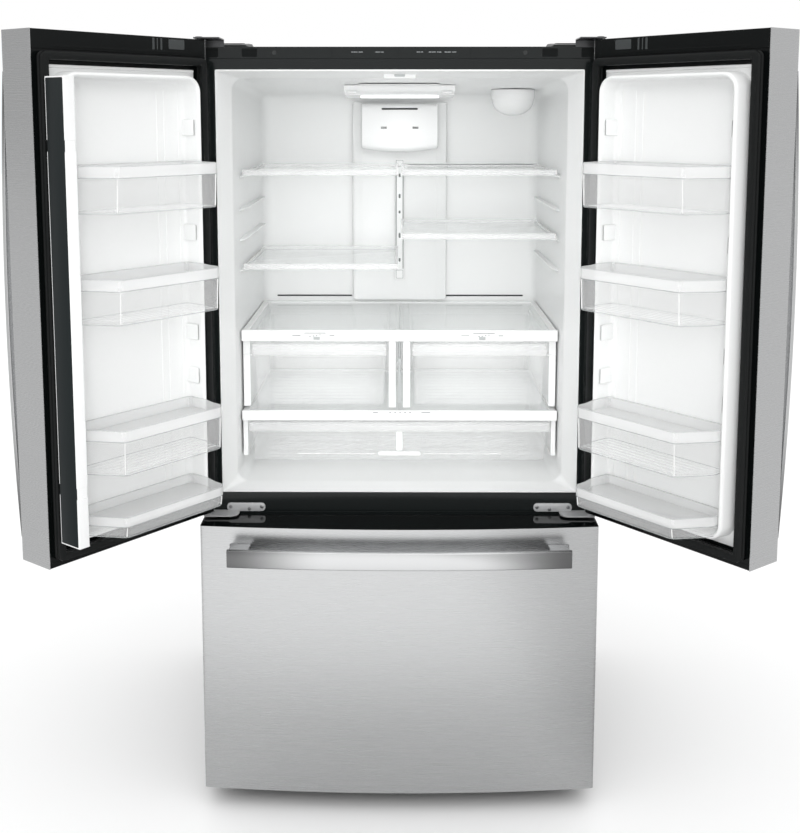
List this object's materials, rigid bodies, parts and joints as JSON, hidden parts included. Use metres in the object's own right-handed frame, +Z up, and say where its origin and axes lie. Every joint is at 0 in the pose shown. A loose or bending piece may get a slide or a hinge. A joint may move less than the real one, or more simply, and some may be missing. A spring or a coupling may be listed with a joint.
{
  "type": "french door refrigerator",
  "caption": "Free-standing refrigerator with double swing doors on door bins, half-width glass shelves, crispers, a wide flat drawer and a pull-out freezer drawer below.",
  "frame": {"origin": "on the floor, below the middle of the object's bounding box with the doors open", "axes": "+Z up, +Y from the doors to the rear wall side, +X to the right seen from the front"},
  "size_m": [1.6246, 1.1802, 1.775],
  "materials": {
    "stainless_steel": "satin",
    "case_paint": "satin",
    "black_plastic": "gloss",
    "white_plastic": "satin",
    "clear_plastic": "gloss",
    "shelf_glass": "gloss",
    "gasket_rubber": "matte",
    "zinc_steel": "satin",
    "compressor_paint": "satin",
    "aluminium": "satin"
  },
  "bodies": {
    "cabinet": {"air_tower": "white_plastic", "back_panel": "zinc_steel", "base_pan": "case_paint", "cabinet_wrapper": "case_paint", "ceiling_light": "white_plastic", "compressor": "compressor_paint", "condenser_coil": "compressor_paint", "control_panel": "black_plastic", "crisper_cover": "shelf_glass", "deli_cover": "shelf_glass", "evaporator": "aluminium", "evaporator_cover": "white_plastic", "filter_housing": "white_plastic", "freezer_liner": "white_plastic", "fresh_food_liner": "white_plastic", "front_frame": "black_plastic", "left_hinge_cover": "black_plastic", "left_middle_hinge": "zinc_steel", "left_top_hinge": "zinc_steel", "lower_left_shelf": "shelf_glass", "lower_right_shelf": "shelf_glass", "rear_cover": "case_paint", "right_hinge_cover": "black_plastic", "right_middle_hinge": "zinc_steel", "right_top_hinge": "zinc_steel", "shelf_track": "zinc_steel", "upper_left_shelf": "shelf_glass", "upper_right_shelf": "shelf_glass"},
    "left_door": {"left_door_skin": "stainless_steel", "left_door_frame": "black_plastic", "left_door_liner": "white_plastic", "left_door_gasket": "gasket_rubber", "left_door_handle": "stainless_steel", "left_door_bin_1": "clear_plastic", "left_door_bin_2": "clear_plastic", "left_door_bin_3": "clear_plastic", "left_door_bin_4": "clear_plastic"},
    "right_door": {"right_door_skin": "stainless_steel", "right_door_frame": "black_plastic", "right_door_liner": "white_plastic", "right_door_gasket": "gasket_rubber", "right_door_handle": "stainless_steel", "right_door_bin_1": "clear_plastic", "right_door_bin_2": "clear_plastic", "right_door_bin_3": "clear_plastic", "right_door_bin_4": "clear_plastic"},
    "mullion": {"mullion": "black_plastic"},
    "freezer_drawer": {"drawer_skin": "stainless_steel", "drawer_frame": "black_plastic", "drawer_liner": "white_plastic", "drawer_gasket": "gasket_rubber", "drawer_handle": "stainless_steel", "drawer_bin": "white_plastic"},
    "freezer_basket": {"drawer_basket": "clear_plastic"},
    "left_crisper": {"left_crisper": "clear_plastic"},
    "right_crisper": {"right_crisper": "clear_plastic"},
    "deli_drawer": {"deli_drawer": "clear_plastic"},
    "left_humidity_slider": {"left_humidity_slider": "white_plastic"},
    "right_humidity_slider": {"right_humidity_slider": "white_plastic"},
    "evaporator_fan": {"evaporator_fan": "black_plastic"}
  },
  "joints": [
    {"name": "left_door_hinge", "type": "hinge", "parent": "cabinet", "child": "left_door", "pos_m": [-0.442, -0.1859, 1.2], "axis": [0, 0, -1], "range_deg": [-128, 0]},
    {"name": "right_door_hinge", "type": "hinge", "parent": "cabinet", "child": "right_door", "pos_m": [0.442, -0.1859, 1.2], "axis": [0, 0, 1], "range_deg": [-128, 0]},
    {"name": "mullion_hinge", "type": "hinge", "parent": "left_door", "child": "mullion", "pos_m": [-0.66494, -0.54597, 1.2], "axis": [0, 0, 1], "range_deg": [-90, 0]},
    {"name": "freezer_drawer_slide", "type": "slide", "parent": "cabinet", "child": "freezer_drawer", "axis": [0, -1, 0], "range_m": [0, 0.42]},
    {"name": "freezer_basket_slide", "type": "slide", "parent": "freezer_drawer", "child": "freezer_basket", "axis": [0, 1, 0], "range_m": [0, 0.12]},
    {"name": "left_crisper_slide", "type": "slide", "parent": "cabinet", "child": "left_crisper", "axis": [0, -1, 0], "range_m": [0, 0.25]},
    {"name": "right_crisper_slide", "type": "slide", "parent": "cabinet", "child": "right_crisper", "axis": [0, -1, 0], "range_m": [0, 0.25]},
    {"name": "deli_drawer_slide", "type": "slide", "parent": "cabinet", "child": "deli_drawer", "axis": [0, -1, 0], "range_m": [0, 0.25]},
    {"name": "left_humidity_slide", "type": "slide", "parent": "cabinet", "child": "left_humidity_slider", "axis": [1, 0, 0], "range_m": [-0.026, 0.026]},
    {"name": "right_humidity_slide", "type": "slide", "parent": "cabinet", "child": "right_humidity_slider", "axis": [1, 0, 0], "range_m": [-0.026, 0.026]},
    {"name": "evaporator_fan_spin", "type": "hinge", "parent": "cabinet", "child": "evaporator_fan", "pos_m": [0, 0.4251, 0.575], "axis": [0, 1, 0], "continuous": true}
  ]
}
